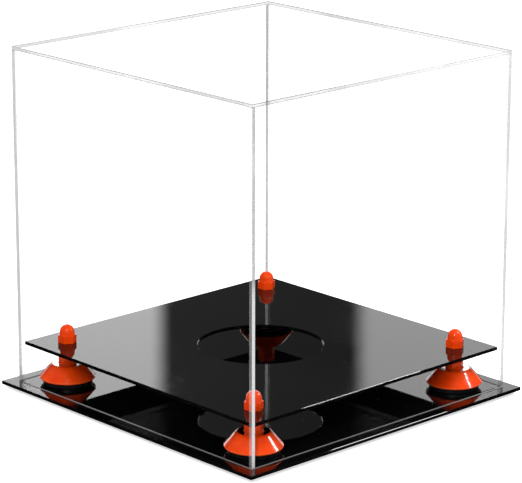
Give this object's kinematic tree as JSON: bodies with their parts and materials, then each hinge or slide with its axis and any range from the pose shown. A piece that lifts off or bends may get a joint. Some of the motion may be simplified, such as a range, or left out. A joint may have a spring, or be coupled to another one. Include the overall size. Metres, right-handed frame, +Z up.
{
  "type": "display case",
  "caption": "Clear-covered display case for a large round exhibit, with a black base, a raised platform with a round seat hole, and enamelled corner risers.",
  "frame": {"origin": "on the surface that the case stands on, under the centre of the base", "axes": "+Z up, -Y to the front, +X to the right seen from the front"},
  "size_m": [0.3048, 0.3048, 0.2902],
  "materials": {
    "black_acrylic": "gloss",
    "clear_acrylic": "clear gloss",
    "orange_enamel": "gloss enamel",
    "black_rubber": "matt",
    "polished_steel": "polished",
    "zinc_steel": "zinc plated"
  },
  "bodies": {
    "base": {"base_plate": "black_acrylic", "platform": "black_acrylic", "riser_foot_front_left": "black_rubber", "riser_foot_front_right": "black_rubber", "riser_foot_rear_right": "black_rubber", "riser_foot_rear_left": "black_rubber", "riser_cone_front_left": "orange_enamel", "riser_cone_front_right": "orange_enamel", "riser_cone_rear_right": "orange_enamel", "riser_cone_rear_left": "orange_enamel", "riser_washer_front_left": "polished_steel", "riser_washer_front_right": "polished_steel", "riser_washer_rear_right": "polished_steel", "riser_washer_rear_left": "polished_steel", "riser_spacer_front_left": "orange_enamel", "riser_spacer_front_right": "orange_enamel", "riser_spacer_rear_right": "orange_enamel", "riser_spacer_rear_left": "orange_enamel", "cap_nut_front_left": "orange_enamel", "cap_nut_front_right": "orange_enamel", "cap_nut_rear_right": "orange_enamel", "cap_nut_rear_left": "orange_enamel", "through_bolt_front_left": "zinc_steel", "through_bolt_front_right": "zinc_steel", "through_bolt_rear_right": "zinc_steel", "through_bolt_rear_left": "zinc_steel", "bumper_front_left": "black_rubber", "bumper_front_right": "black_rubber", "bumper_rear_right": "black_rubber", "bumper_rear_left": "black_rubber"},
    "cover": {"cover_top": "clear_acrylic", "cover_front": "clear_acrylic", "cover_back": "clear_acrylic", "cover_left": "clear_acrylic", "cover_right": "clear_acrylic"}
  },
  "joints": [
    {"name": "cover_lift", "type": "slide", "parent": "base", "child": "cover", "axis": [0, 0, 1], "range_m": [0, 0.3]}
  ]
}
